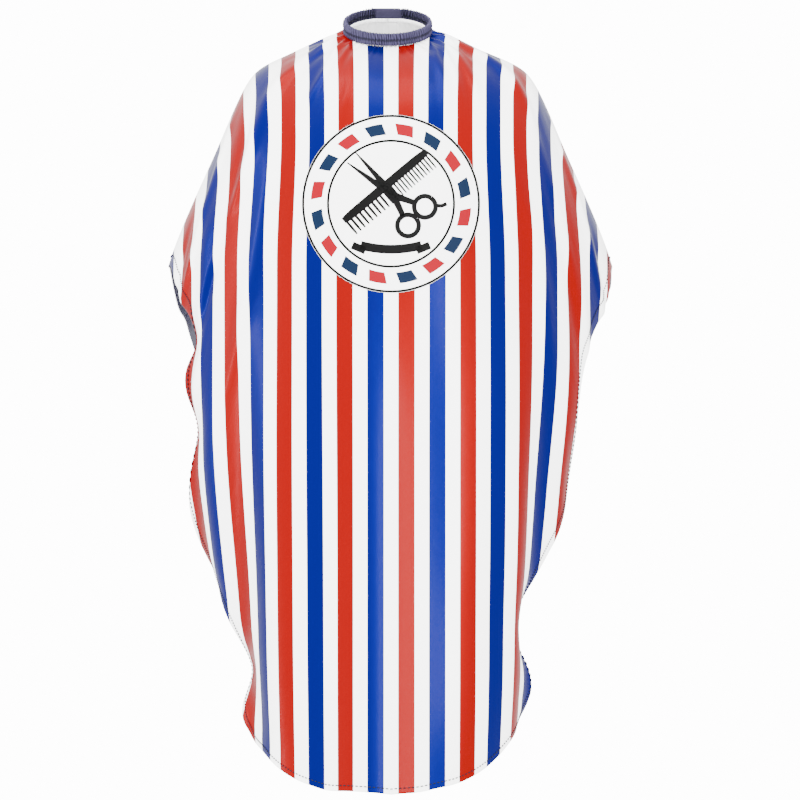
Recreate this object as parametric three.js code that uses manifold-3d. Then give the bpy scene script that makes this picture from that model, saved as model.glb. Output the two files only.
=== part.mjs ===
// Barber cape: one draped, striped sheet gathered into an elastic neckband that closes at the nape.
// Millimetres, +Z up, the wearer faces -Y. The origin is the middle of the neckband, where a neck holds it.
// The sheet is described by two flat coordinates: u across (the stripes run at constant u) and
// v from front (negative) over the shoulder line (0) to back (positive).

import * as THREE from "three";
import * as BufferGeometryUtils from "three/addons/utils/BufferGeometryUtils.js";
import Module from "manifold-3d";

// ---------- driving dimensions ----------

// neckband
const neckWidth = 129; // across, outside
const neckDepth = 112; // front to back, outside
const neckTilt = THREE.MathUtils.degToRad(18); // nape higher than throat
const bandHeight = 20;
const bandThickness = 5.6; // ruched casing, outer face to inner face
const casingWall = 1.4;
const elasticThickness = 1.8;
const elasticClearance = 0.5; // elastic to casing channel, all round
const closureWidth = 40; // flat stretch at the nape, between the casing's ends

// closure at the nape
const tabThickness = 1.2;
const tapeThickness = 1.0; // hook tape and loop tape, with their pile
const tapeLength = 28;
const tapeHeight = 15;
const tabEndGap = 1.6; // tab to casing end
const tabHeightMargin = 0.5; // tab lower than the band, top and bottom

// sheet
const frontDrop = 1109; // neckband centre down to the front hem
const backDrop = 455; // neckband centre down to the back hem
const elbowDrop = 352; // neckband centre down to the elbow corner
const elbowReach = 390; // centre line to the elbow corner, along the sheet
const shoulderReach = 222; // centre line to the shoulder point, along the sheet
const shoulderSlope = 0.38; // fall per unit of reach, neck to shoulder point
const sideReach = 322; // centre line to the side hem below the elbow
const cornerReach = 250; // centre line to the rounded bottom corner
const chestDepth = 150; // neckband centre forward to the hanging front
const backDepth = 95; // shoulder line back to the hanging back
const chestFall = 250; // height over which the front turns from level to hanging
const backFall = 140;
const frontRadius = 347; // the hanging front curves round the body at this radius
const frontFlat = 25; // half width of its flat middle
const hemCurl = 0.74; // share by which that curve tightens from waist to hem
const waistDrop = 500;
const elbowSet = 42; // how far the elbow corner lies behind the neckband centre
const centreOffset = 5; // the sheet hangs this far to the wearer's left
const clothThickness = 3; // fabric with its loft
const neckSpread = 100; // distance over which the gathered neck edge eases into the drape
const gatherShare = 0.04; // width taken up by the gathers above the chest
const slitGap = 4; // between the two back edges

// trim on the sheet
const hemWidth = 12; // facing tape round the edge
const tapeSkin = 0.8; // facing tape thickness
const stitchInset = 8; // hem stitching, in from the edge
const threadWidth = 1;
const threadThickness = 0.6;
const emblemRadius = 129;
const emblemDrop = 256; // neckband centre down to the emblem centre
const filmThickness = 0.7;

const clearance = 0.3; // between pieces that touch
const frontColumns = 24; // facets from centre front to the elbow corner
const backColumns = 9; // facets from the elbow corner to the back slit
const openRows = 12; // facets from neck to hem, above the hem's own rows
const bandSteps = 44;

// ---------- the drape ----------

const softStep = (x, width) => width * Math.log(1 + Math.exp(x / width));
const smooth = (low, high, x) => THREE.MathUtils.smoothstep(x, low, high);

// Height of the shoulder line over flat reach u: level at the neck, a gentle shoulder, then the arm.
const shoulderStart = neckWidth / 2 + 5;
const armSlope = (elbowDrop - 4 - shoulderSlope * (elbowReach - shoulderStart))
  / (elbowReach - shoulderReach);
function ridgeHeight(u) {
  const reach = Math.abs(u);
  return -4 - shoulderSlope * softStep(reach - shoulderStart, 8)
    - armSlope * softStep(reach - shoulderReach, 10);
}

// Half turn of the sheet from the shoulder line to hanging straight, at reach u.
const taper = (u) => Math.cos(0.45 * Math.PI * Math.min(1, Math.abs(u) / elbowReach));
const quarterLength = (depth, height) => (Math.PI / 2) * Math.sqrt((depth * depth + height * height) / 2);
const frontTurn = (u) => quarterLength(chestDepth, chestFall) * taper(u);
const backTurn = (u) => quarterLength(backDepth, backFall) * taper(u);

// The hanging front is an arc in plan: how far across and how far back a reach of u comes.
function plan(u, z) {
  const below = Math.max(0, (-waistDrop - z) / (frontDrop - waistDrop));
  const radius = frontRadius / (1 + hemCurl * Math.pow(below, 1.4));
  const angle = Math.max(0, Math.abs(u) - frontFlat) / radius;
  const across = Math.min(Math.abs(u), frontFlat) + radius * Math.sin(angle);
  const gathered = 1 - gatherShare * smooth(-350, -150, z);
  return { x: Math.sign(u) * across * gathered, back: radius * (1 - Math.cos(angle)) };
}

// The sheet as it lies on shoulders and arms, before its neck edge is pulled in.
function drape(u, v) {
  const isFront = v < 0;
  const turn = isFront ? frontTurn(u) : backTurn(u);
  const fall = (isFront ? chestFall : backFall) * taper(u);
  const angle = (Math.PI / 2) * Math.min(1, Math.abs(v) / turn);
  const z = ridgeHeight(u) - fall * (1 - Math.cos(angle)) - Math.max(0, Math.abs(v) - turn);
  const ridgeY = elbowSet * (u / elbowReach) ** 2;
  const { x, back } = plan(u, z);
  const hangingY = isFront ? Math.min(back - chestDepth, ridgeY - 14) : ridgeY + backDepth * taper(u);
  return new THREE.Vector3(centreOffset + x, ridgeY + (hangingY - ridgeY) * Math.sin(angle), z);
}

// The neckband's middle line, and the line under it where the sheet is sewn in, at angle a from centre front.
const bandA = (neckWidth - bandThickness) / 2;
const bandB = (neckDepth - bandThickness) / 2;
const tiltAxis = new THREE.Vector3(1, 0, 0);
const neckEdge = (a) => new THREE.Vector3(
  bandA * Math.sin(a), -bandB * Math.cos(a), -bandHeight / 2 - 2 * clearance,
).applyAxisAngle(tiltAxis, neckTilt);
const neckFlatU = bandA;
const neckFlatV = 72; // flat half length of the neck hole
const neckFlat = (a) => new THREE.Vector2(neckFlatU * Math.sin(a), -neckFlatV * Math.cos(a));

// The whole sheet: the drape, eased into the neck edge close to the neckband.
function sheetPoint(u, v) {
  const a = Math.atan2(u / neckFlatU, -v / neckFlatV);
  const hole = neckFlat(a);
  const away = Math.max(0, Math.hypot(u, v) - hole.length());
  const pull = neckEdge(a).sub(drape(hole.x, hole.y));
  return drape(u, v).addScaledVector(pull, Math.exp(-Math.pow(away / neckSpread, 1.5)));
}

function sheetNormal(u, v) {
  const step = 2;
  const alongU = sheetPoint(u + step, v).sub(sheetPoint(u - step, v));
  const alongV = sheetPoint(u, v + step).sub(sheetPoint(u, v - step));
  return alongU.cross(alongV).normalize();
}

// ---------- the cut outline ----------

// Flat v of the front (side -1) or back (side 1) at reach u and drop below the neckband centre.
function flatV(u, drop, side) {
  const turn = side < 0 ? frontTurn(u) : backTurn(u);
  const fall = (side < 0 ? chestFall : backFall) * taper(u);
  return side * (turn + ridgeHeight(u) - fall + drop);
}

const outlinePoint = (side) => ([u, drop]) => new THREE.Vector3(u, flatV(u, drop, side), 0);
const elbowCorner = new THREE.Vector3(elbowReach, 0, 0);
const frontOutline = new THREE.CatmullRomCurve3([
  ...[
    [0, frontDrop],
    [0.3 * cornerReach, frontDrop],
    [0.55 * cornerReach, frontDrop - 12],
    [0.84 * cornerReach, frontDrop - 66],
    [cornerReach, frontDrop - 130],
    [cornerReach + 4, frontDrop - 235],
    [sideReach - 8, frontDrop - 330],
    [sideReach + 8, frontDrop - 430],
    [sideReach, elbowDrop + 115],
    [sideReach + 30, elbowDrop + 45],
  ].map(outlinePoint(-1)),
  elbowCorner,
]);
const backOutline = new THREE.CatmullRomCurve3([
  elbowCorner,
  ...[
    [0.9 * elbowReach, backDrop - 25],
    [0.75 * elbowReach, backDrop + 20],
    [0.58 * elbowReach, backDrop + 18],
    [0.4 * elbowReach, backDrop + 12],
    [hemWidth + slitGap / 2, backDrop],
    [slitGap / 2, backDrop],
  ].map(outlinePoint(1)),
]);

// Columns run from the neck hole to the hem. The last two bound the facing beside the back slit.
const hemPoints = [
  ...frontOutline.getSpacedPoints(frontColumns).slice(0, -1),
  ...backOutline.getSpacedPoints(backColumns).slice(0, -1),
];
const lastFree = hemPoints.length - 1;
const closingAngle = THREE.MathUtils.degToRad(158);
const rightColumns = hemPoints.map((hem, k) => {
  const aimed = Math.atan2(hem.x / neckFlatU, -hem.y / neckFlatV);
  const even = (closingAngle * k) / lastFree;
  return { neck: neckFlat(0.5 * (Math.min(aimed, closingAngle) + even)), hem };
});
for (const u of [hemWidth + slitGap / 2, slitGap / 2]) {
  rightColumns.push({
    neck: new THREE.Vector2(u, neckFlatV * Math.sqrt(1 - (u / neckFlatU) ** 2)),
    hem: new THREE.Vector3(u, flatV(u, backDrop, 1), 0),
  });
}
const mirrored = ({ neck, hem }) => ({
  neck: new THREE.Vector2(-neck.x, neck.y),
  hem: new THREE.Vector3(-hem.x, hem.y, 0),
});
const columns = [...rightColumns.slice(1).reverse().map(mirrored), ...rightColumns];

// Rows are set by distance: even above, then the lines of the facing tape and the stitching.
const hemRows = [
  hemWidth + clearance + 0.1, hemWidth, stitchInset + threadWidth / 2, stitchInset - threadWidth / 2, 0,
];
const rowCount = openRows + hemRows.length;
const facingRow = openRows + 1;
const stitchRow = openRows + 2;
function rowShare(row, length) {
  if (row >= openRows) return 1 - hemRows[row - openRows] / length;
  return (row / openRows) * (1 - hemRows[0] / length);
}

const grid = columns.map(({ neck, hem }) => {
  const length = Math.hypot(hem.x - neck.x, hem.y - neck.y);
  return Array.from({ length: rowCount }, (_, row) => {
    const share = rowShare(row, length);
    const u = THREE.MathUtils.lerp(neck.x, hem.x, share);
    const v = THREE.MathUtils.lerp(neck.y, hem.y, share);
    return { point: sheetPoint(u, v), normal: sheetNormal(u, v) };
  });
});

// ---------- solids ----------

// A closed slab over a block of the grid, between two distances from the sheet's outer face.
function gridSlab(firstColumn, lastColumn, firstRow, lastRow, high, low) {
  const across = lastColumn - firstColumn + 1;
  const along = lastRow - firstRow + 1;
  const positions = [];
  for (const offset of [high, low]) {
    for (let c = firstColumn; c <= lastColumn; c += 1) {
      for (let r = firstRow; r <= lastRow; r += 1) {
        const { point, normal } = grid[c][r];
        positions.push(...point.clone().addScaledVector(normal, offset).toArray());
      }
    }
  }
  const index = [];
  const at = (layer, c, r) => (layer * across + c) * along + r;
  const quad = (a, b, c, d) => index.push(a, b, c, a, c, d);
  for (let c = 0; c < across - 1; c += 1) {
    for (let r = 0; r < along - 1; r += 1) {
      quad(at(0, c, r), at(0, c, r + 1), at(0, c + 1, r + 1), at(0, c + 1, r));
      index.push(at(1, c, r), at(1, c + 1, r + 1), at(1, c, r + 1));
      index.push(at(1, c, r), at(1, c + 1, r), at(1, c + 1, r + 1));
    }
  }
  for (let c = 0; c < across - 1; c += 1) {
    quad(at(0, c, 0), at(0, c + 1, 0), at(1, c + 1, 0), at(1, c, 0));
    quad(at(0, c + 1, along - 1), at(0, c, along - 1), at(1, c, along - 1), at(1, c + 1, along - 1));
  }
  for (let r = 0; r < along - 1; r += 1) {
    quad(at(0, 0, r + 1), at(0, 0, r), at(1, 0, r), at(1, 0, r + 1));
    quad(at(0, across - 1, r), at(0, across - 1, r + 1), at(1, across - 1, r + 1), at(1, across - 1, r));
  }
  const geometry = new THREE.BufferGeometry();
  geometry.setAttribute("position", new THREE.Float32BufferAttribute(positions, 3));
  geometry.setIndex(index);
  geometry.computeVertexNormals();
  return geometry;
}

const wasm = await Module();
wasm.setup();

function toSolid(geometry) {
  const bare = geometry.clone();
  bare.deleteAttribute("normal");
  bare.deleteAttribute("uv");
  const merged = BufferGeometryUtils.mergeVertices(bare);
  return new wasm.Manifold(new wasm.Mesh({
    numProp: 3,
    vertProperties: new Float32Array(merged.attributes.position.array),
    triVerts: new Uint32Array(merged.index.array),
  }));
}

function fromSolid(solid) {
  const mesh = solid.getMesh();
  const geometry = new THREE.BufferGeometry();
  geometry.setAttribute("position", new THREE.BufferAttribute(new Float32Array(mesh.vertProperties), 3));
  geometry.setIndex(new THREE.BufferAttribute(new Uint32Array(mesh.triVerts), 1));
  geometry.computeVertexNormals();
  return geometry;
}

// Part of the band's ellipse, from one casing end round the throat to the other, in the band's own plane.
class BandCurve extends THREE.Curve {
  constructor(a, b, halfGap) {
    super();
    this.a = a;
    this.b = b;
    this.endAngle = Math.PI - Math.asin(halfGap / a);
  }

  getPoint(t, target = new THREE.Vector3()) {
    const angle = this.endAngle * (2 * t - 1);
    return target.set(this.a * Math.sin(angle), -this.b * Math.cos(angle), 0);
  }

  getPointAt(t, target) {
    return this.getPoint(t, target);
  }
}

// A section carried along the band: height runs with the band's height, depth with its thickness.
function bandSweep(section, curve) {
  return new THREE.ExtrudeGeometry(section, { extrudePath: curve, steps: bandSteps, bevelEnabled: false });
}

function rectangle(path, height, depth) {
  path.moveTo(-height / 2, -depth / 2);
  path.lineTo(height / 2, -depth / 2);
  path.lineTo(height / 2, depth / 2);
  path.lineTo(-height / 2, depth / 2);
  path.closePath();
  return path;
}

// ---------- materials ----------

const material = (color, roughness) => new THREE.MeshStandardMaterial({ color, roughness, metalness: 0 });
const clothLook = () => material(0xf4f4f6, 0.35);
const slateLook = () => material(0x5b5b85, 0.75);
const threadLook = () => material(0x2c2c50, 0.6);

const cape = new THREE.Group();
const band = new THREE.Group();
band.rotation.x = neckTilt;
cape.add(band);

function addTo(group, name, geometry, look) {
  const mesh = new THREE.Mesh(geometry, look);
  mesh.name = name;
  group.add(mesh);
  return mesh;
}

// ---------- sheet and its trim ----------

const lastColumn = columns.length - 1;
const lastRow = rowCount - 1;
addTo(cape, "cape_cloth", gridSlab(0, lastColumn, 0, lastRow, 0, -clothThickness), clothLook());

const skinTop = -clothThickness - clearance;
const skinLow = skinTop - tapeSkin;
addTo(cape, "hem_facing", gridSlab(0, lastColumn, facingRow, lastRow, skinTop, skinLow), slateLook());
addTo(cape, "slit_facing_left", gridSlab(0, 1, 0, openRows, skinTop, skinLow), clothLook());
addTo(
  cape, "slit_facing_right",
  gridSlab(lastColumn - 1, lastColumn, 0, openRows, skinTop, skinLow), clothLook(),
);
addTo(
  cape, "hem_stitching",
  gridSlab(0, lastColumn, stitchRow, stitchRow + 1, clearance + threadThickness, clearance), threadLook(),
);

// The emblem is a round printed film that lies on the chest, so it is the sheet's own facets in a circle.
const middleColumn = rightColumns.length - 1;
const chest = gridSlab(
  middleColumn - frontColumns, middleColumn + frontColumns, 0, openRows,
  clearance + filmThickness, clearance,
);
const punch = new THREE.CylinderGeometry(emblemRadius, emblemRadius, chestDepth, 48);
punch.translate(centreOffset, -chestDepth, 0);
punch.translate(0, 0, -emblemDrop);
addTo(cape, "chest_emblem", fromSolid(toSolid(chest).intersect(toSolid(punch))), material(0xfafafa, 0.3));

// ---------- neckband ----------

const channelDepth = elasticThickness + 2 * elasticClearance;
const channelHeight = bandHeight - 2 * casingWall;
const bandMiddle = new BandCurve(bandA, bandB, closureWidth / 2);
const casing = rectangle(new THREE.Shape(), bandHeight, bandThickness);
casing.holes.push(rectangle(new THREE.Path(), channelHeight, channelDepth));
addTo(band, "neckband_casing", bandSweep(casing, bandMiddle), slateLook());

const elastic = rectangle(new THREE.Shape(), channelHeight - 2 * elasticClearance, elasticThickness);
addTo(band, "neck_elastic", bandSweep(elastic, bandMiddle), material(0xe8e8e8, 0.8));

const threadOut = bandThickness / 2 + clearance + threadThickness / 2;
const stitchLine = new BandCurve(bandA + threadOut, bandB + threadOut, closureWidth / 2);
const thread = rectangle(new THREE.Shape(), threadWidth, threadThickness);
addTo(band, "neckband_stitching", bandSweep(thread, stitchLine), threadLook());

// ---------- closure at the nape ----------

// The stack, from the neck outwards: under tab, hook tape, loop tape, outer tab.
const stackDepth = 2 * tabThickness + 2 * tapeThickness + 3 * clearance;
const tabLength = closureWidth - 2 * tabEndGap;
const tabHeight = bandHeight - 2 * tabHeightMargin;
const napeY = bandB * Math.sqrt(1 - (closureWidth / 2 / bandA) ** 2) + 0.5;
let stackY = napeY - stackDepth / 2;
const layers = [
  { name: "closure_under_tab", length: tabLength, height: tabHeight, depth: tabThickness, look: slateLook() },
  { name: "hook_tape", length: tapeLength, height: tapeHeight, depth: tapeThickness, look: threadLook() },
  { name: "loop_tape", length: tapeLength, height: tapeHeight, depth: tapeThickness, look: threadLook() },
  { name: "closure_outer_tab", length: tabLength, height: tabHeight, depth: tabThickness, look: slateLook() },
];
for (const { name, length, height, depth, look } of layers) {
  const plate = addTo(band, name, new THREE.BoxGeometry(length, depth, height), look);
  plate.position.y = stackY + depth / 2;
  stackY += depth + clearance;
}

// Bar tacks hold the elastic's ends: one across the casing beside each end.
const tackInset = 4;
const tackSize = 1.4;
for (const [name, side] of [["elastic_tack_left", -1], ["elastic_tack_right", 1]]) {
  const x = side * (closureWidth / 2 + tackInset);
  const angle = Math.PI - side * Math.asin(Math.abs(x) / bandA);
  const tangent = new THREE.Vector2(bandA * Math.cos(angle), bandB * Math.sin(angle)).normalize();
  const out = bandThickness / 2 + clearance + threadThickness / 2 + 0.1;
  const tack = addTo(
    band, name, new THREE.BoxGeometry(tackSize, threadThickness, bandHeight / 2 - 2), threadLook(),
  );
  tack.rotation.z = Math.atan2(tangent.y, tangent.x);
  tack.position.set(x + tangent.y * out, bandB * Math.sqrt(1 - (x / bandA) ** 2) - tangent.x * out, 0);
  tack.position.z = -bandHeight / 4 - threadWidth / 2;
}

export default cape;
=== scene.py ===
"""A long striped barber cape with a ruched elastic neckband, hanging as if on a wearer's shoulders.

Metres, +Z up, the wearer faces -Y. The origin is the middle of the neckband. The cloth's shape is worked out
in millimetres and turned into metres when a mesh is made.
"""

import bpy
import numpy as np
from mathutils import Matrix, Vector


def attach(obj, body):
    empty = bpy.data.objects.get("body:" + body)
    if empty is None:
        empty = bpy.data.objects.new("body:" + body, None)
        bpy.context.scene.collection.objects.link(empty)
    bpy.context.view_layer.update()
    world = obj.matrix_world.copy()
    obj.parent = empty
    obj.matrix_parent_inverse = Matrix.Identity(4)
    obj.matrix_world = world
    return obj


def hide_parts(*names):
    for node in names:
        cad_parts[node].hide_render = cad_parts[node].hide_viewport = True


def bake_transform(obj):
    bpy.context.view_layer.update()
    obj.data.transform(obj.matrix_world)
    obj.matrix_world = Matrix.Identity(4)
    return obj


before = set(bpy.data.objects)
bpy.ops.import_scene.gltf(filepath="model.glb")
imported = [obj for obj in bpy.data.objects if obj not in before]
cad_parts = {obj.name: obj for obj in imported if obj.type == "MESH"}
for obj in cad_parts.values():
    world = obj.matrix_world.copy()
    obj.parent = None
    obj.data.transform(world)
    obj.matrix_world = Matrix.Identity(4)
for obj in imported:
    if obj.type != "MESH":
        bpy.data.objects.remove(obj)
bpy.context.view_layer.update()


# ---------- camera ----------
# Level and straight on, thirty metres off with a long lens, so that the stripes stay parallel and the ring of the
# neckband keeps its shape.

camera_data = bpy.data.cameras.new("camera")
camera_data.sensor_width = 36
camera_data.lens = 928.6
camera_data.clip_end = 80
camera = bpy.data.objects.new("camera", camera_data)
camera.location = (0.018, -30.0, -0.540)
camera.rotation_euler = (np.pi / 2, 0, 0)
bpy.context.collection.objects.link(camera)
bpy.context.scene.camera = camera


# ---------- the sheet ----------
# One piece of striped polyester taffeta, near to a rectangle, with a neck hole and a slit at centre back. It is
# hemmed all round, sewn into the neckband, and lies over shoulders and arms down to the shins. Flat u runs across
# the cut, so the stripes follow it, and flat v from the front hem (negative) over the shoulders to the back hem.

neck_width, neck_depth = 129.0, 112.0
neck_tilt, neck_lift = np.radians(21.5), 2.4
band_height, band_thickness = 20.0, 5.6
band_a, band_b = (neck_width - band_thickness) / 2, (neck_depth - band_thickness) / 2
elbow_reach, shoulder_reach = 390.0, 222.0
chest_depth, back_depth = 150.0, 95.0
chest_fall, back_fall = 250.0, 140.0
elbow_back = 42.0
half_cut = 387.0
centre_offset = 5.0
back_hem_drop = 455.0


def smooth(low, high, x):
    """0 below low, 1 above high, an eased ramp between."""
    t = np.clip((x - low) / (high - low), 0, 1)
    return t * t * (3 - 2 * t)


def bump(centre, width, x):
    """A bell of height 1: exp(-((x - centre) / width)^2)."""
    return np.exp(-(((x - centre) / width) ** 2))


def ridge_height(u):
    """Height of the shoulder line: level at the neck, falling 0.38 mm for each mm of u along the shoulder, then
    steeper down the arm so that it reaches -352 mm at the elbow, with both bends eased."""
    def soft_step(x, width):
        """0 below 0, x above it, with the bend eased over the width."""
        return width * np.logaddexp(0, x / width)

    start = neck_width / 2 + 5
    arm = (352 - 4 - 0.38 * (elbow_reach - start)) / (elbow_reach - shoulder_reach)
    return -4 - 0.38 * soft_step(np.abs(u) - start, 8) - arm * soft_step(np.abs(u) - shoulder_reach, 10)


def taper(u):
    """How far the chest and back stand out at u: a cosine from 1 at the middle to 0.16 at the elbow."""
    return np.cos(0.45 * np.pi * np.minimum(1, np.abs(u) / elbow_reach))


def turn_length(u, front):
    """Length of cloth that turns from the shoulder line to hanging straight: a quarter ellipse, tapered."""
    depth, fall = np.where(front, chest_depth, back_depth), np.where(front, chest_fall, back_fall)
    return np.pi / 2 * np.sqrt((depth**2 + fall**2) / 2) * taper(u)


def body_radius(z, side):
    """The hanging cloth's radius in plan: about 345 mm to the waist, tightening to 170 mm at the hem, sooner on the
    wearer's left (side 1)."""
    drop = -z
    right_side = 347 - 95 * smooth(560, 880, drop) - 70 * smooth(820, 1130, drop)
    left_side = 340 - 75 * smooth(460, 740, drop) - 60 * smooth(680, 900, drop) - 60 * smooth(880, 1150, drop)
    return np.where(side > 0, left_side, right_side)


# vertical folds: flat u at the middle of the drop, lean (mm of u per mm of drop), width, height out of the
# cloth, drop where it starts, drop where it is full
folds = [
    (52, 0.00, 58, 7.0, 250, 620),
    (-34, 0.00, 36, -3.0, 300, 700),
    (-92, 0.01, 40, 5.5, 380, 800),
    (-176, 0.00, 44, -9.0, 330, 900),
    (-236, 0.03, 32, 8.0, 300, 780),
    (-292, 0.02, 26, -6.0, 330, 700),
    (-338, 0.00, 24, 6.0, 380, 620),
    (128, 0.00, 40, -5.0, 420, 900),
    (190, 0.00, 36, -10.0, 330, 820),
    (243, 0.02, 30, 9.0, 300, 720),
    (286, 0.00, 22, -5.0, 330, 640),
]

# side flutes: side, drop, half height, extra turn of the edge strip in radians
flutes = [
    (-1, 456, 30, 0.50), (-1, 515, 36, -0.20), (-1, 582, 36, 0.42), (-1, 700, 60, -0.10), (-1, 812, 36, 0.15),
    (-1, 925, 44, 0.60), (-1, 1005, 40, -0.45),
    (1, 450, 30, 0.10), (1, 640, 60, 0.12), (1, 866, 44, 0.80), (1, 960, 46, -0.30),
]


def section(u, z, edge):
    """Where the level section at height z comes after a reach of u: x and depth are the integrals of cos and sin
    of the cloth's heading, which is the body's arc plus the slopes of the folds and of the fluted edge."""
    steps = 40
    share = (np.arange(steps) + 0.5) / steps
    reach = u[None] * share[:, None]
    drop = -z[None]
    side = np.sign(u)[None]
    heading = side * np.maximum(0, np.abs(reach) - 25) / body_radius(z, u)[None]
    for middle, lean, width, height, start, full in folds:
        t = (reach - middle - np.sign(middle) * lean * (drop - 700)) / width
        heading = heading - 2 * height * smooth(start, full, drop) * t / width * np.exp(-t * t)
    strip = smooth(0, 60, np.abs(reach) - (edge[None] - 62))
    for which, at, half, extra in flutes:
        heading = heading + side * (side == which) * extra * bump(at, half, drop) * strip
    weight = u[None] / steps
    return np.sum(np.cos(heading) * weight, 0), np.sum(np.sin(heading) * weight, 0)


def drape(u, v):
    """The sheet on shoulders and arms, before its neck edge is pulled in. Each line of constant u turns over the
    shoulder line in a quarter ellipse, in front or behind, and then hangs straight down."""
    front = v < 0
    turn = turn_length(u, front)
    fall = np.where(front, chest_fall, back_fall) * taper(u)
    angle = np.pi / 2 * np.minimum(1, np.abs(v) / turn)
    z = ridge_height(u) - fall * (1 - np.cos(angle)) - np.maximum(0, np.abs(v) - turn)
    ridge_y = elbow_back * (u / elbow_reach) ** 2
    edge = np.where(front, hem_reach(u, z), 1e4)
    across, depth = section(u, z, edge)
    # The shoulders draw the cloth in by 4%. In front, its side edges stay clear of the arms down to the elbow and
    # may wrap further round the body below it.
    across = across * (1 - 0.04 * smooth(-350, -150, z))
    limit = ridge_y - 14 + 90 * smooth(400, 520, -z)
    hanging = np.where(front, np.minimum(depth - chest_depth, limit), ridge_y + back_depth * taper(u))
    hanging = hanging + np.where(front, 0, back_waves(u, z))
    return np.stack([centre_offset + across, ridge_y + (hanging - ridge_y) * np.sin(angle), z], -1)


def back_waves(u, z):
    """Soft vertical waves of the short back panel, growing towards its hem."""
    return smooth(120, 420, -z) * (5 * np.sin(u / 31 + 0.8) + 3 * np.sin(u / 17 + 2))


neck_flat_u, neck_flat_v = band_a, 72.0


def neck_flat(a):
    """The cut edge of the neck hole: an ellipse whose middle lies under the band's, not on the sheet's centre."""
    return np.stack([neck_flat_u * np.sin(a) - centre_offset, -neck_flat_v * np.cos(a)], -1)


def from_neck(u, v):
    """Angle round the neck hole and distance out from its edge, of a flat point."""
    a = np.arctan2((u + centre_offset) / neck_flat_u, -v / neck_flat_v)
    reach = np.hypot(neck_flat_u * np.sin(a), neck_flat_v * np.cos(a))
    return a, np.maximum(0, np.hypot(u + centre_offset, v) - reach)


def tilt(points):
    """The neckband's own frame to the cape's: nape up by the band's tilt."""
    x, y, z = np.moveaxis(np.asarray(points, float), -1, 0)
    c, s = np.cos(neck_tilt), np.sin(neck_tilt)
    return np.stack([x, y * c - z * s, y * s + z * c + neck_lift], -1)


def neck_edge(a):
    """The line under the neckband where the sheet is sewn in."""
    low = np.full_like(a, -band_height / 2 - 0.6)
    return tilt(np.stack([band_a * np.sin(a), -band_b * np.cos(a), low], -1))


def bare_sheet(u, v):
    """The whole sheet without its fine relief: the drape, eased into the neck edge near the neckband."""
    a, away = from_neck(u, v)
    hole = neck_flat(a)
    pull = neck_edge(a) - drape(hole[..., 0], hole[..., 1])
    return drape(u, v) + pull * np.exp(-((away / 100) ** 1.5))[..., None]


# creases that run slantwise over shoulders and arms, and narrow ones at the band: flat start, flat end, width,
# height
creases = [
    ((-66, -36), (-150, -190), 9, 3.0), ((-60, -52), (-112, -170), 7, 2.4), ((-72, -10), (-205, -120), 12, 3.4),
    ((-150, -60), (-300, -230), 16, 4.0), ((-215, -70), (-330, -300), 14, -3.4), ((-250, -40), (-372, -150), 12, 3.6),
    ((-190, -200), (-262, -470), 18, 3.6), ((-300, -120), (-352, -420), 14, 3.4), ((-330, -60), (-386, -110), 9, -2.4),
    ((66, -36), (140, -170), 9, 2.8), ((60, -54), (104, -160), 7, 2.6), ((72, -8), (210, -110), 12, 3.4),
    ((150, -40), (310, -260), 15, 4.2), ((205, -70), (300, -330), 15, -3.6), ((262, -40), (376, -160), 12, 3.4),
    ((196, -220), (250, -500), 18, 3.4), ((300, -160), (318, -480), 13, 3.6), ((335, -70), (384, -120), 9, -2.2),
    ((-58, -66), (-84, -230), 8, 1.8), ((58, -66), (80, -240), 8, 2.0),
    ((-64, -26), (-92, -96), 4.5, 2.4), ((-58, -42), (-76, -112), 4, 2.0), ((-66, -10), (-124, -78), 5.5, 2.6),
    ((54, -26), (86, -98), 4.5, 2.4), ((50, -42), (68, -110), 4, 2.0), ((58, -8), (118, -80), 5.5, 2.8),
    ((-120, 40), (-260, 150), 16, 3.5), ((120, 40), (250, 160), 16, 3.5), ((-60, 70), (-120, 260), 14, 3.0),
    ((60, 70), (130, 250), 14, 3.0),
]


def relief(u, v):
    """Height over the bare sheet, in mm outwards: sine gathers that die away from the neck edge, and creases, each
    a bell across a slightly bowed line that swells at its start and fades at its end."""
    a, away = from_neck(u, v)
    fine = np.sin(52 * a + 2.2 * np.sin(5 * a)) + 0.6 * np.sin(83 * a + 1.4 * np.sin(7 * a) + 1)
    height = 1.25 * fine * np.exp(-away / 15) * smooth(0, 3, away)
    side = 0.35 + 0.65 * np.sin(a) ** 2
    broad = np.sin(19 * a + 1.3 * np.sin(2 * a) + 0.5) + 0.7 * np.sin(31 * a + 1.9 * np.sin(3 * a))
    height = height + 1.7 * broad * side * (away / 26) * np.exp(1 - away / 26)
    for (u0, v0), (u1, v1), width, size in creases:
        run, rise = u1 - u0, v1 - v0
        length = np.hypot(run, rise)
        t = ((u - u0) * run + (v - v0) * rise) / length**2
        off = ((u - u0) * rise - (v - v0) * run) / length
        off = off + 0.06 * length * np.sin(np.pi * np.clip(t, 0, 1))
        height = height + size * np.exp(-((off / width) ** 2)) * smooth(-0.15, 0.25, t) * (1 - smooth(0.6, 1.15, t))
    return height


def outward(surface, u, v, step):
    """Unit normals of a surface by central differences."""
    along_u = surface(u + step, v) - surface(u - step, v)
    along_v = surface(u, v + step) - surface(u, v - step)
    normal = np.cross(along_u, along_v)
    return normal / np.linalg.norm(normal, axis=-1, keepdims=True)


def sheet(u, v):
    """The finished sheet's outer face."""
    return bare_sheet(u, v) + outward(bare_sheet, u, v, 3.0) * relief(u, v)[..., None]


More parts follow.
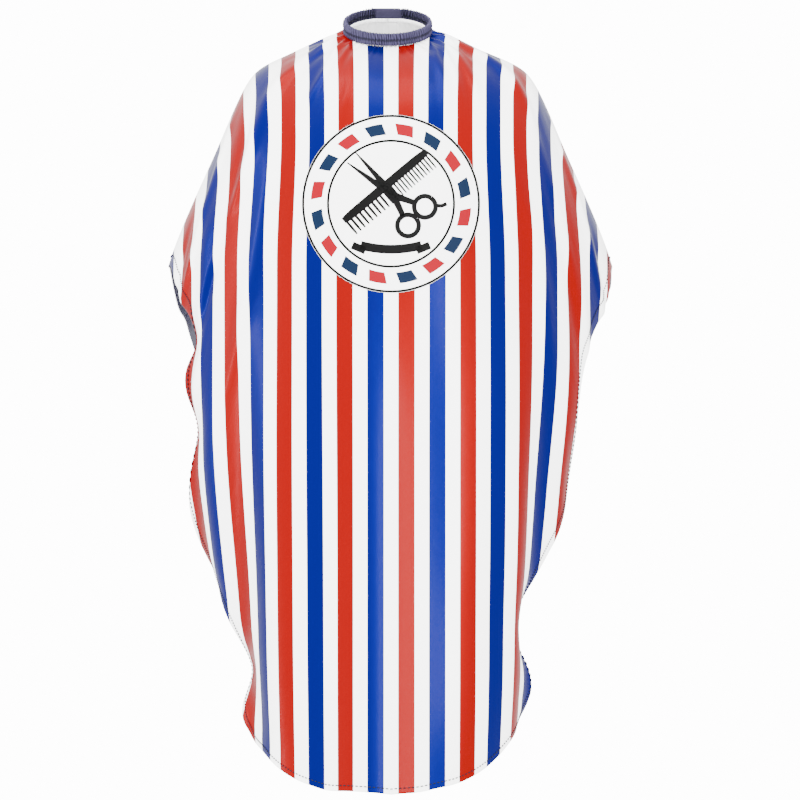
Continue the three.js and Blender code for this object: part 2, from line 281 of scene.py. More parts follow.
# The cut edge, from centre front round to centre back, as drop below the neckband and reach across, in mm.
hem_drops = {
    -1: [(1111, 0), (1106, 76), (1097, 120), (1074, 158), (1045, 192), (1020, 206), (985, 217), (930, 225),
         (880, 234), (820, 254), (770, 278), (700, 297), (620, 297), (540, 299), (470, 299), (424, 295), (396, 306)],
    1: [(1111, 0), (1106, 50), (1096, 92), (1072, 134), (1040, 162), (1012, 186), (975, 202), (920, 207),
        (865, 207), (815, 215), (765, 232), (700, 256), (620, 268), (540, 274), (480, 283), (436, 299), (396, 315)],
}
back_drops = {
    -1: [(402, 312), (424, 301), (452, 293), (474, 280), (476, 226), (468, 150), (458, 60),
         (back_hem_drop, 14), (back_hem_drop, 2)],
    1: [(378, 319), (398, 305), (430, 292), (466, 278), (475, 226), (468, 150), (458, 60),
        (back_hem_drop, 14), (back_hem_drop, 2)],
}


def reach_at(drop, across, side):
    """Flat reach whose plain arc comes out at this distance from the centre line."""
    radius = body_radius(-np.asarray(drop, float), side)
    return np.where(
        across > 25, 25 + radius * np.arcsin(np.clip((np.asarray(across, float) - 25) / radius, 0, 0.999)), across
    )


def flat_v(u, drop, front):
    """Flat v of the point at reach u that hangs at this drop."""
    fall = np.where(front, chest_fall, back_fall) * taper(u)
    return np.where(front, -1, 1) * (turn_length(u, front) + ridge_height(u) - fall + drop)


def hem_reach(u, z):
    """Reach of the side edge at height z, on u's side."""
    out = np.empty_like(u)
    for side in (-1, 1):
        drops = np.array([d for d, _ in hem_drops[side]][::-1], float)
        across = np.array([x for _, x in hem_drops[side]][::-1], float)
        reach = np.interp(-z, drops, reach_at(drops, across, side))
        out = np.where(np.sign(u) == side, reach, out)
    return np.where(z > -396, 1e4, out)


def rounded(points, count):
    """A Catmull-Rom curve through points, read at even distances."""
    p = np.asarray(points, float)
    p = np.vstack([2 * p[0] - p[1], p, 2 * p[-1] - p[-2]])
    t = np.linspace(0, 1, 24, endpoint=False)[:, None]
    runs = []
    for a, b, c, d in zip(p[:-3], p[1:-2], p[2:-1], p[3:]):
        runs.append(0.5 * (2 * b + (c - a) * t + (2 * a - 5 * b + 4 * c - d) * t**2 + (3 * b - a - 3 * c + d) * t**3))
    curve = np.vstack(runs + [p[-2][None]])
    far = np.concatenate([[0], np.cumsum(np.linalg.norm(np.diff(curve, axis=0), axis=1))])
    even = np.linspace(0, far[-1], count)
    return np.stack([np.interp(even, far, curve[:, k]) for k in (0, 1)], -1)


def hole_v(u):
    """Flat v of the neck hole's back edge at u."""
    return neck_flat_v * np.sqrt(1 - ((u + centre_offset) / neck_flat_u) ** 2)


def half_edge(side, front_count, back_count):
    """Flat points of one half of the cut edge, and the neck hole points that its columns start from."""
    corner = np.array([[side * half_cut, 0.0]])
    drop, across = np.array(hem_drops[side], float).T
    u = side * reach_at(drop, across, side)
    front = np.vstack([np.stack([u, flat_v(u, drop, True)], -1), corner])
    drop, across = np.array(back_drops[side], float).T
    u = side * reach_at(drop, across, side)
    back = np.vstack([corner, np.stack([u, flat_v(u, drop, False)], -1)[:-1]])
    edge = np.vstack([rounded(front, front_count)[:-1], rounded(back, back_count)])
    # Columns start half way between an even spacing round the neck hole and straight in line with the edge point.
    last = np.radians(166)
    even = last * np.arange(len(edge)) / (len(edge) - 1)
    aimed = side * from_neck(edge[:, 0], edge[:, 1])[0]
    aimed = np.where(aimed < -1, np.pi, np.maximum(aimed, 0))
    neck = neck_flat(side * 0.5 * (np.minimum(aimed, last) + even))
    # The last three columns carry the lap past the centre back.
    slit_u = side * np.array([14.0, 5.0, -4.0])
    slit_top = side * np.array([8.0, 2.5, -4.0])
    slit_neck = np.stack([slit_top, hole_v(slit_top)], -1)
    slit_hem = np.stack([slit_u, flat_v(slit_u, back_hem_drop, False)], -1)
    return np.vstack([edge[:-1], slit_hem]), np.vstack([neck[:-1], slit_neck])


right_edge, right_neck = half_edge(1, 147, 44)
left_edge, left_neck = half_edge(-1, 147, 44)
edge = np.vstack([left_edge[:0:-1], right_edge])
neck = np.vstack([left_neck[:0:-1], right_neck])
column_length = np.linalg.norm(edge - neck, axis=1)


def flat_at(inset):
    """Flat points at this distance in from the cut edge, one for each column."""
    return edge + (neck - edge) * (inset / column_length)[:, None]


def linear(hex_colour):
    """An sRGB hex colour as linear red, green, blue and alpha."""
    values = [int(hex_colour[k:k + 2], 16) / 255 for k in (1, 3, 5)]
    return [v / 12.92 if v <= 0.04045 else ((v + 0.055) / 1.055) ** 2.4 for v in values] + [1.0]


def add_node(tree, kind, settings=None, **inputs):
    """A shader node. settings are its properties; inputs are numbers, colours or sockets by input name."""
    item = tree.nodes.new(kind)
    for key, value in (settings or {}).items():
        setattr(item, key, value)
    for key, value in inputs.items():
        key = key.replace("_", " ")
        socket = item.inputs[int(key[3:])] if key.startswith("at ") else item.inputs[key]
        if isinstance(value, bpy.types.NodeSocket):
            tree.links.new(value, socket)
        else:
            socket.default_value = value
    return item


def new_material(name, **inputs):
    """A node material, its tree, and its Principled shader with these inputs set."""
    made = bpy.data.materials.new(name)
    made.use_nodes = True
    tree = made.node_tree
    tree.nodes.clear()
    shader = add_node(tree, "ShaderNodeBsdfPrincipled", **inputs)
    add_node(tree, "ShaderNodeOutputMaterial", Surface=shader.outputs["BSDF"])
    return made, tree, shader


def dyed_stripes(tree, fade_from, fade_to, strength):
    """Cloth colour over the flat cut. u over the pitch gives the stripe's number and the place in it; the dye,
    red and blue in turn, fades out between two distances from the stripe's middle, as shares of the pitch."""
    flat = add_node(tree, "ShaderNodeUVMap", {"uv_map": "flat"}).outputs[0]
    across = add_node(tree, "ShaderNodeSeparateXYZ", at_0=flat).outputs[0]
    place = add_node(tree, "ShaderNodeMath", {"operation": "DIVIDE"}, at_0=across, at_1=stripe_pitch).outputs[0]
    number = add_node(tree, "ShaderNodeMath", {"operation": "FLOOR"}, at_0=place).outputs[0]
    within = add_node(tree, "ShaderNodeMath", {"operation": "SUBTRACT"}, at_0=place, at_1=number).outputs[0]
    aside = add_node(tree, "ShaderNodeMath", {"operation": "SUBTRACT"}, at_0=within, at_1=0.5).outputs[0]
    from_middle = add_node(tree, "ShaderNodeMath", {"operation": "ABSOLUTE"}, at_0=aside).outputs[0]
    dyed = add_node(
        tree, "ShaderNodeMapRange", {"interpolation_type": "SMOOTHSTEP"},
        Value=from_middle, From_Min=fade_from, From_Max=fade_to, To_Min=strength, To_Max=0.0,
    ).outputs[0]
    odd = add_node(tree, "ShaderNodeMath", {"operation": "MODULO"}, at_0=number, at_1=2.0).outputs[0]
    blue = add_node(tree, "ShaderNodeMath", {"operation": "ABSOLUTE"}, at_0=odd).outputs[0]
    mix = {"data_type": "RGBA"}
    dye = add_node(tree, "ShaderNodeMix", mix, at_0=blue, at_6=linear("#5c0000"), at_7=linear("#000138"))
    cloth = add_node(tree, "ShaderNodeMix", mix, at_0=dyed, at_6=linear("#fafafa"), at_7=dye.outputs[2])
    return flat, dyed, blue, cloth.outputs[2]


# Polyester taffeta with a soft water-repellent coating, piece-dyed in stripes 24 mm wide every 45 mm on white: a
# satin gloss that shows as broad pale sheens on the folds, tinted by the dye. The weave is drawn at 0.9 cells to
# the millimetre, several times its real thread spacing, so that it shows; the ripple is about 26 mm apart.
stripe_pitch = 0.045
striped_cloth, tree, shader = new_material(
    "striped polyester", Roughness=0.34, Specular_IOR_Level=0.27, Coat_Weight=0.03, Coat_Roughness=0.16
)
flat, dyed, blue, cloth_colour = dyed_stripes(tree, 0.258, 0.276, 1.0)
weave = add_node(tree, "ShaderNodeTexNoise", Vector=flat, Scale=900.0, Detail=2.0)
weave_bump = add_node(tree, "ShaderNodeBump", Strength=0.12, Distance=0.0004, Height=weave.outputs[0])
ripple = add_node(tree, "ShaderNodeTexNoise", Vector=flat, Scale=38.0, Detail=3.0)
ripple_bump = add_node(
    tree, "ShaderNodeBump", Strength=0.18, Distance=0.0025, Height=ripple.outputs[0], Normal=weave_bump.outputs[0]
)
mix = {"data_type": "RGBA"}
sheen = add_node(tree, "ShaderNodeMix", mix, at_0=blue, at_6=linear("#ff352c"), at_7=linear("#2444ff"))
lustre = add_node(tree, "ShaderNodeMix", mix, at_0=dyed, at_6=linear("#ffffff"), at_7=sheen.outputs[2])
tree.links.new(cloth_colour, shader.inputs["Base Color"])
tree.links.new(ripple_bump.outputs[0], shader.inputs["Normal"])
tree.links.new(lustre.outputs[2], shader.inputs["Specular Tint"])

# The wrong side of the same taffeta, uncoated: white and matt, with the dye showing through faintly.
wrong_side, tree, shader = new_material("polyester wrong side", Roughness=0.6)
flat, dyed, blue, cloth_colour = dyed_stripes(tree, 0.22, 0.27, 0.07)
weave = add_node(tree, "ShaderNodeTexNoise", Vector=flat, Scale=900.0, Detail=2.0)
weave_bump = add_node(tree, "ShaderNodeBump", Strength=0.15, Distance=0.0004, Height=weave.outputs[0])
tree.links.new(cloth_colour, shader.inputs["Base Color"])
tree.links.new(weave_bump.outputs[0], shader.inputs["Normal"])


def add_mesh(name, points_mm, faces, materials, face_material=None, uv=None, smooth=True):
    """A mesh object at the origin from points in millimetres. uv is one (u, v) per point, in metres."""
    mesh = bpy.data.meshes.new(name)
    mesh.from_pydata((np.asarray(points_mm) / 1000).tolist(), [], faces)
    for item in materials:
        mesh.materials.append(item)
    if face_material is not None:
        mesh.polygons.foreach_set("material_index", np.asarray(face_material, dtype=np.int32))
    mesh.polygons.foreach_set("use_smooth", np.full(len(mesh.polygons), smooth))
    if uv is not None:
        corner = np.empty(len(mesh.loops), dtype=np.int32)
        mesh.loops.foreach_get("vertex_index", corner)
        layer = mesh.uv_layers.new(name="flat")
        layer.data.foreach_set("uv", np.asarray(uv, dtype=np.float32)[corner].ravel())
    mesh.update()
    thing = bpy.data.objects.new(name, mesh)
    bpy.context.collection.objects.link(thing)
    return thing


def grid_faces(across, along, closed=False, start=0, flip=False):
    """Quads over a grid of points numbered across by along. closed joins the last row of across to the first."""
    a = np.arange(across if closed else across - 1)
    b = np.arange(along - 1)
    a, b = np.meshgrid(a, b, indexing="ij")
    n = (a + 1) % across
    quads = np.stack([a * along + b, a * along + b + 1, n * along + b + 1, n * along + b], -1).reshape(-1, 4)
    if flip:
        quads = quads[:, ::-1]
    return (quads + start).tolist()


def slab_faces(across, along):
    """Quads of a closed slab: a top grid, then a bottom grid of the same size, and the four sides."""
    count = across * along
    faces = grid_faces(across, along) + grid_faces(across, along, start=count, flip=True)

    def side(ring):
        """The quads that join one run of the top grid's rim to the bottom grid's."""
        ring = np.asarray(ring)
        return np.stack([ring[1:], ring[:-1], ring[:-1] + count, ring[1:] + count], -1).tolist()

    a, b = np.arange(across), np.arange(along)
    faces += side(b)
    faces += side(a * along + along - 1)
    faces += side(((across - 1) * along + b)[::-1])
    faces += side((a * along)[::-1])
    return faces


def grid_normals(points):
    """Unit normals of a grid of points."""
    normal = np.cross(np.gradient(points, axis=0), -np.gradient(points, axis=1))
    return normal / np.linalg.norm(normal, axis=-1, keepdims=True)


def slit_lap(u, v, side):
    """How far a slit edge stands out where the two laps cross: the wearer's right lap lies outside."""
    return -1.5 * side * smooth(26, 6, np.abs(u)) * (v > 0)


# Rows run from the neck hole to the hem, closer together near the neck, where the gathers are.
hem_insets = (16.0, 12.6, 11.2, 7.0, 2.5, 0.6, 0.0)
open_rows = 118
rows = [neck + (flat_at(hem_insets[0]) - neck) * share for share in (np.arange(open_rows) / open_rows) ** 1.3]
rows += [flat_at(inset) for inset in hem_insets]
flat_uv = np.stack(rows, 1)
across_count, along_count = flat_uv.shape[:2]
u, v = flat_uv[..., 0].ravel(), flat_uv[..., 1].ravel()
outer = sheet(u, v).reshape(across_count, along_count, 3)
lap = np.zeros((across_count, along_count))
for side, lapped in ((-1, slice(0, 40)), (1, slice(across_count - 40, None))):
    lap[lapped] = slit_lap(flat_uv[lapped, :, 0], flat_uv[lapped, :, 1], side)
normals = grid_normals(outer)
if np.mean(normals[across_count // 2, -8:, 1]) > 0:
    normals = -normals
# The cloth is 0.45 mm thick, thicker than the real 0.2 so that both faces stay apart, and 1.3 mm in the turned hem.
depth_rows = np.full(along_count, 0.45)
depth_rows[-5:] = 1.3
depth_rows[-1] = 1.0
face_rows = np.zeros(along_count)
face_rows[-1] = 0.3
outer = outer + normals * lap[..., None]
top = outer - normals * face_rows[None, :, None]
bottom = outer - normals * depth_rows[None, :, None]
points = np.vstack([top.reshape(-1, 3), bottom.reshape(-1, 3)])
faces = slab_faces(across_count, along_count)
one_layer = (across_count - 1) * (along_count - 1)
face_material = np.zeros(len(faces), dtype=int)
face_material[one_layer:2 * one_layer] = 1
uv = np.vstack([flat_uv.reshape(-1, 2)] * 2) / 1000
cape = add_mesh("cape_sheet", points, faces, [striped_cloth, wrong_side], face_material, uv)


def fasten(thing, node, body="cape"):
    """Ties a finished piece to its body, and hides the imported node it stands for."""
    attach(thing, body)
    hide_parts(node)


fasten(cape, "cape_cloth")


# ---------- hem facing ----------
# Slate polyester satin tape, 12 mm wide, laid round the whole cut edge on the wrong side and stitched down.
# It is only seen where the edge turns back.

# Woven polyester satin, dyed slate: smooth and softly glossy.
slate_tape = new_material(
    "slate satin tape", Base_Color=linear("#121029"), Roughness=0.3, Coat_Weight=0.1, Coat_Roughness=0.25
)[0]


def cloth_strip(name, strip_uv, low, high, materials, node, side=0):
    """A closed strip on the sheet's wrong side: the flat grid strip_uv laid between two depths under the face."""
    n, m = strip_uv.shape[:2]
    su, sv = strip_uv[..., 0].ravel(), strip_uv[..., 1].ravel()
    face = sheet(su, sv)
    normal = outward(sheet, su, sv, 2.0)
    face = face + normal * slit_lap(su, sv, side)[:, None]
    deep = np.full((n, m), high)
    deep[:, (0, -1)] = (high + low) / 2 - 0.05
    deep_low = np.full((n, m), low)
    deep_low[:, (0, -1)] = (high + low) / 2 + 0.05
    strip = np.vstack([face - normal * deep.reshape(-1, 1), face - normal * deep_low.reshape(-1, 1)])
    uv = np.vstack([strip_uv.reshape(-1, 2)] * 2) / 1000
    made = add_mesh(name, strip, slab_faces(n, m), materials, uv=uv)
    fasten(made, node)
    return made


facing_uv = np.stack([flat_at(inset) for inset in (12.0, 11.4, 8.0, 4.0, 0.9, 0.3)], 1)
hem_facing = cloth_strip("hem_facing_tape", facing_uv, 2.1, 1.5, [slate_tape], "hem_facing")


# ---------- slit facings ----------
# Strips of the sheet's own cloth, wrong side out, folded along both edges of the back slit and stitched down.
# They run from the neckband to just short of the back hem, and cross over each other by 8 mm with the laps.

for side, node in ((-1, "slit_facing_left"), (1, "slit_facing_right")):
    slit_lines = []
    for slit_u in (8.0, 7.2, 2.0, -2.8, -3.6):
        top_v = hole_v(side * slit_u) + 1
        low_v = flat_v(np.array(slit_u), back_hem_drop, False) - 13.0
        slit_lines.append(np.stack([np.full(60, side * slit_u), np.linspace(top_v, low_v, 60)], -1))
    strip = np.stack(slit_lines, 1)
    if side < 0:
        strip = strip[:, ::-1]
    cloth_strip(f"slit_tape_{'left' if side < 0 else 'right'}", strip, 1.6, 0.75, [wrong_side],
                    node, side)


# ---------- hem stitching ----------
# Lockstitch in slate polyester thread, 8 mm in from the edge, that holds the hem facing: 4.7 mm stitches every
# 6.4 mm that bed into the cloth at both ends.

# Spun polyester sewing thread, dyed slate: matt, with a slight lustre. It is drawn 1.8 mm thick round the hem, six
# times its real thickness, so that the row of stitches shows from far off.
thread = new_material("slate thread", Base_Color=linear("#0a0b15"), Roughness=0.6, Specular_IOR_Level=0.15)[0]


def tube_faces(length, ring, start=0, flip=False):
    """Quads of a tube: length rings of ring points each."""
    i, j = np.meshgrid(np.arange(length - 1), np.arange(ring), indexing="ij")
    n = (j + 1) % ring
    quads = np.stack([i * ring + j, i * ring + n, (i + 1) * ring + n, (i + 1) * ring + j], -1).reshape(-1, 4)
    return ((quads[:, ::-1] if flip else quads) + start).tolist()


def rods(starts, ends, ups, radius, sink, rise, sides=6, rings=5):
    """Short threads as one mesh. Each runs from start to end; its middle line stands along up by
    (sink + rise) sin(pi t)^0.7 - sink, and its radius is the given one times 0.45 + 0.55 sin(pi t)^0.5."""
    starts, ends, ups = (np.asarray(x, float) for x in (starts, ends, ups))
    run = ends - starts
    along = run / np.linalg.norm(run, axis=1, keepdims=True)
    ups = ups - along * np.sum(ups * along, 1, keepdims=True)
    ups /= np.linalg.norm(ups, axis=1, keepdims=True)
    beside = np.cross(along, ups)
    t = np.linspace(0, 1, rings)
    arch = np.sin(np.pi * t)
    lift = -sink + (sink + rise) * arch**0.7
    thick = radius * (0.45 + 0.55 * arch**0.5)
    turn = np.linspace(0, 2 * np.pi, sides, endpoint=False)
    centre = starts[:, None] + run[:, None] * t[:, None] + ups[:, None] * lift[:, None]
    ring = ups[:, None, None] * np.cos(turn)[:, None] + beside[:, None, None] * np.sin(turn)[:, None]
    points = (centre[:, :, None] + ring * thick[:, None, None]).reshape(-1, 3)
    first = np.arange(len(starts))[:, None] * rings * sides
    tubes = first[:, :, None] + np.array(tube_faces(rings, sides))
    near_caps = first + np.arange(sides)[::-1]
    far_caps = first + (rings - 1) * sides + np.arange(sides)
    return points, tubes.reshape(-1, 4).tolist() + near_caps.tolist() + far_caps.tolist()


def stitch_run(line, pitch, stitch, radius, sink, rise):
    """Stitches along a flat line on the sheet's face: one starts each pitch, measured along the line."""
    far = np.concatenate([[0], np.cumsum(np.linalg.norm(np.diff(line, axis=0), axis=1))])
    count = int(far[-1] // pitch)
    first = (np.arange(count) + 0.2) * far[-1] / count
    ends = []
    for at in (first, first + stitch):
        ends.append(np.stack([np.interp(at, far, line[:, k]) for k in (0, 1)], -1))
    middle = (ends[0] + ends[1]) / 2
    up = outward(sheet, middle[:, 0], middle[:, 1], 2.0)
    faces_at = [sheet(e[:, 0], e[:, 1]) for e in ends]
    return rods(faces_at[0], faces_at[1], up, radius, sink, rise, sides=5)


stitches, stitch_faces = stitch_run(flat_at(8.0), pitch=6.4, stitch=4.7, radius=0.9, sink=0.3, rise=0.75)
hem_stitches = add_mesh("hem_stitches", stitches, stitch_faces, [thread])
fasten(hem_stitches, "hem_stitching")


# ---------- chest emblem ----------
# A round film, 258 mm across, printed in black, red and blue on white and heat-pressed on the chest. The artwork
# is plain: a dashed ring between two thin ones, and a comb and scissors crossed over a blank ribbon.

emblem_radius, emblem_middle = 129.0, np.array([centre_offset, -256.0])


def chest_at(x, z):
    """Flat (u, v) of the front whose finished point shows at x, z: Newton's method on the bare sheet."""
    u, v = x - centre_offset, z + 30
    for _ in range(8):
        here = sheet(u, v)
        du = (bare_sheet(u + 1, v) - bare_sheet(u - 1, v)) / 2
        dv = (bare_sheet(u, v + 1) - bare_sheet(u, v - 1)) / 2
        miss_x, miss_z = x - here[..., 0], z - here[..., 2]
        size = du[..., 0] * dv[..., 2] - dv[..., 0] * du[..., 2]
        u = u + np.clip((miss_x * dv[..., 2] - miss_z * dv[..., 0]) / size, -40, 40)
        v = v + np.clip((miss_z * du[..., 0] - miss_x * du[..., 2]) / size, -40, 40)
    return u, v


# The chest under the emblem as a field: finished point and outward normal every 6 mm over x and z.
chest_step = 6.0
chest_x = np.arange(-138, 139, chest_step) + emblem_middle[0]
chest_z = np.arange(-138, 139, chest_step) + emblem_middle[1]
chest_grid = np.meshgrid(chest_x, chest_z, indexing="ij")
chest_u, chest_v = chest_at(chest_grid[0].ravel(), chest_grid[1].ravel())
chest_points = sheet(chest_u, chest_v).reshape(len(chest_x), len(chest_z), 3)
chest_normals = outward(sheet, chest_u, chest_v, 2.0).reshape(len(chest_x), len(chest_z), 3)


def smooth_lookup(field, x, z):
    """Catmull-Rom value of a field on the chest grid."""
    a, b = (x - chest_x[0]) / chest_step, (z - chest_z[0]) / chest_step
    i, j = np.clip(a.astype(int), 1, len(chest_x) - 3), np.clip(b.astype(int), 1, len(chest_z) - 3)

    def weights(t):
        """The four Catmull-Rom weights at a place t between two grid lines."""
        return [(-t + 2 * t**2 - t**3) / 2, (2 - 5 * t**2 + 3 * t**3) / 2,
                (t + 4 * t**2 - 3 * t**3) / 2, (-t**2 + t**3) / 2]

    total = 0
    for p, wa in enumerate(weights(a - i)):
        for q, wb in enumerate(weights(b - j)):
            total = total + (wa * wb)[..., None] * field[i + p - 1, j + q - 1]
    return total


def on_chest(flat_points, height):
    """Points given in the emblem's own mm (x right, y up), laid height mm over the chest cloth."""
    x, z = flat_points[..., 0] + emblem_middle[0], flat_points[..., 1] + emblem_middle[1]
    y = smooth_lookup(chest_points, x, z)[..., 1]
    normal = smooth_lookup(chest_normals, x, z)
    normal /= np.linalg.norm(normal, axis=-1, keepdims=True)
    return np.stack([x, y, z], -1) + normal * height


# Screen-printed vinyl film with a matt finish: flat even colours with hardly any shine.
inks = {}
for ink, colour in (("white", "#f9f9f9"), ("black", "#020202"), ("red", "#700010"), ("blue", "#041328")):
    inks[ink] = new_material(
        f"print film {ink}", Base_Color=linear(colour), Roughness=0.5, Specular_IOR_Level=0.05
    )[0]

ring_steps, turn_steps = 44, 180
radii = np.concatenate([np.linspace(0.6, emblem_radius - 0.6, ring_steps - 1), [emblem_radius]])
turns = np.linspace(0, 2 * np.pi, turn_steps, endpoint=False)
disc = np.stack([np.outer(np.cos(turns), radii), np.outer(np.sin(turns), radii)], -1)
film_top = on_chest(disc, 0.55)
film_top[:, -1] = on_chest(disc[:, -1], 0.4)
film_points = np.vstack([film_top.reshape(-1, 3), on_chest(disc, 0.15).reshape(-1, 3)])
count = turn_steps * ring_steps
film_faces = grid_faces(turn_steps, ring_steps, closed=True)
film_faces += grid_faces(turn_steps, ring_steps, closed=True, start=count, flip=True)
rim = np.arange(turn_steps) * ring_steps + ring_steps - 1
after = np.roll(rim, -1)
film_faces += np.stack([rim, after, after + count, rim + count], -1)[:, ::-1].tolist()
hub = np.arange(turn_steps) * ring_steps
film_faces += [hub[::-1].tolist(), (hub + count).tolist()]
emblem = add_mesh("emblem_film", film_points, film_faces, [inks["white"]])


def ribbon(path, width, steps_across=2):
    """A flat printed stroke: grid points each side of a path, with the width at each path point."""
    path = np.asarray(path, float)
    width = np.broadcast_to(np.asarray(width, float), (len(path),))
    ahead = np.gradient(path, axis=0)
    ahead /= np.maximum(1e-9, np.linalg.norm(ahead, axis=1, keepdims=True))
    beside = np.stack([-ahead[:, 1], ahead[:, 0]], -1)
    t = np.linspace(-0.5, 0.5, steps_across)
    return path[:, None, :] + beside[:, None, :] * (t[None, :] * width[:, None])[..., None]


def arc(radius, first, last, steps, middle=(0, 0)):
    """Points on a circle between two angles in degrees."""
    a = np.radians(np.linspace(first, last, steps))
    return np.stack([middle[0] + radius * np.cos(a), middle[1] + radius * np.sin(a)], -1)


def line(start, end, steps):
    """Points at even distances between two points."""
    t = np.linspace(0, 1, steps)[:, None]
    return np.asarray(start) * (1 - t) + np.asarray(end) * t


def turned(path, angle, at=(0, 0)):
    """A path about the origin, turned by degrees and moved to a point."""
    a = np.radians(angle)
    x, y = np.asarray(path, float).T
    return np.stack([x * np.cos(a) - y * np.sin(a) + at[0], x * np.sin(a) + y * np.cos(a) + at[1]], -1)


strokes = {"black": [], "red": [], "blue": []}
strokes["black"].append(ribbon(arc(127.0, 0, 360, 240), 3.4))
strokes["black"].append(ribbon(arc(91, 0, 360, 200), 3.4))
for k in range(16):
    first = 4 + 22.5 * k
    inner, outer_arc = arc(100, first, first + 13, 8), arc(116, first + 2.5, first + 15.5, 8)
    dash = np.stack([inner, (inner + outer_arc) / 2, outer_arc], 1)
    strokes["red" if k % 2 else "blue"].append(dash)

# comb: a spine with a row of teeth, 7.6 mm apart at one end and 5.6 mm at the other
comb_tilt, crossing = 40, (-1, 16)
spine = line((-78, 12), (78, 12), 30)
strokes["black"].append(ribbon(turned(spine, comb_tilt, crossing), 13 - 4 * np.linspace(-1, 1, 30) ** 8, 3))
tooth_at, gap = -75.0, 7.6
while tooth_at < 76:
    broad = 0.5 * gap
    tooth = turned(line((tooth_at, 8), (tooth_at, -15), 5), comb_tilt, crossing)
    strokes["black"].append(ribbon(tooth, [broad, broad, broad, broad * 0.9, broad * 0.6]))
    tooth_at += gap
    gap = 7.6 if tooth_at < 0 else 5.6

# scissors: two blades that cross at the screw, two finger rings and a finger rest
for side in (-1, 1):
    swing = 48 + side * 9
    blade = line((side * 2.5, 76), (side * -1.5, -4), 24)
    strokes["black"].append(ribbon(turned(blade, swing, crossing), np.linspace(1.6, 13.0, 24), 3))
    shank = rounded([(side * -1.5, 2), (side * 2, -18), (side * 7, -38)], 16)
    strokes["black"].append(ribbon(turned(shank, swing, crossing), np.linspace(11.5, 8.0, 16), 3))
    finger_ring = arc(15.5, 0, 360, 48, (side * 10, -53))
    strokes["black"].append(ribbon(turned(finger_ring, swing, crossing), 7.0))
rest = rounded([(20, -64), (24, -72), (31, -77)], 8)
strokes["black"].append(ribbon(turned(rest, 57, crossing), 5.5))

# a blank ribbon under them, folded back at both ends
banner_x = np.linspace(-44, 44, 60)
strokes["black"].append(ribbon(np.stack([banner_x, -66 + 0.003 * banner_x**2], -1), 13, 3))
for side in (-1, 1):
    tail = np.stack([side * np.linspace(37, 56, 10), -68.0 + np.linspace(0, 8, 10)], -1)
    strokes["black"].append(ribbon(tail, 11, 3))

print_pieces = []
for ink, parts_of_ink in strokes.items():
    all_points, all_faces, start = [], [], 0
    for grid in parts_of_ink:
        n, m = grid.shape[:2]
        upper, lower = on_chest(grid, 0.72).reshape(-1, 3), on_chest(grid, 0.5).reshape(-1, 3)
        quads = np.array(slab_faces(n, m))
        corner = upper.reshape(n, m, 3)
        if np.cross(corner[1, 0] - corner[0, 0], corner[0, 1] - corner[0, 0])[1] < 0:
            quads = quads[:, ::-1]
        all_points.append(np.vstack([upper, lower]))
        all_faces += (quads + start).tolist()
        start += 2 * n * m
    print_pieces.append(add_mesh(f"emblem_print_{ink}", np.vstack(all_points), all_faces, [inks[ink]], smooth=False))
for piece in [emblem] + print_pieces:
    fasten(piece, "chest_emblem")


# ---------- neckband casing ----------
# A slate polyester tube round the neck, gathered on its elastic, with one row of stitching that parts it into two
# puffed rows. It is open at both ends, beside the closure at the nape.

closure_width = 40.0
band_end = np.pi - np.arcsin(closure_width / 2 / band_a)


def band_point(a, out, up):
    """A point by angle from centre front, distance out from the band's middle line and height up the band."""
    normal = np.stack([band_b * np.sin(a), -band_a * np.cos(a)], -1)
    normal /= np.linalg.norm(normal, axis=-1, keepdims=True)
    x = band_a * np.sin(a) + out * normal[..., 0]
    y = -band_b * np.cos(a) + out * normal[..., 1]
    return tilt(np.stack([x, y, np.broadcast_to(up, x.shape)], -1))


# Gathered polyester poplin, dyed slate: matt, with painted shade down in the gathers and painted highlight on their
# crests. Its weave is drawn at 2.6 cells to the millimetre, about twice as coarse as the threads.
band_cloth, tree, shader = new_material("slate gathered polyester", Roughness=0.62, Specular_IOR_Level=0.12)
height = add_node(tree, "ShaderNodeAttribute", {"attribute_name": "gather"})
# The ramp runs from painted shade at its dark end to painted highlight at its light end.
tone = add_node(tree, "ShaderNodeValToRGB", Fac=height.outputs["Fac"])
tone.color_ramp.elements[0].color = linear("#030312")
tone.color_ramp.elements[1].color = linear("#3a3650")
tone.color_ramp.elements[0].position = 0.1
tone.color_ramp.elements[1].position = 0.9
place = add_node(tree, "ShaderNodeTexCoord")
weave = add_node(tree, "ShaderNodeTexNoise", Vector=place.outputs["Object"], Scale=2600.0, Detail=2.0)
weave_bump = add_node(tree, "ShaderNodeBump", Strength=0.3, Distance=0.0002, Height=weave.outputs[0])
tree.links.new(tone.outputs[0], shader.inputs["Base Color"])
tree.links.new(weave_bump.outputs[0], shader.inputs["Normal"])

groove_at, row_height = -0.9, 9.4
around, loop = 1300, 36
a = np.linspace(-band_end, band_end, around)
phi = 2 * np.pi * np.arange(loop) / loop


def signed_power(x, power):
    """The sign of x times |x|^power: with sine and cosine, a rounded box section."""
    return np.sign(x) * np.abs(x) ** power


# Its section is a rounded box, pinched by the groove's stitching.
height_of = row_height * signed_power(np.sin(phi), 0.85)
groove = bump(groove_at, 1.5, height_of)
half_thick = 2.75 - 1.15 * groove
depth_of = half_thick * signed_power(np.cos(phi), 0.45)
aa, kk = np.meshgrid(a, np.arange(loop), indexing="ij")
hh = height_of[kk]

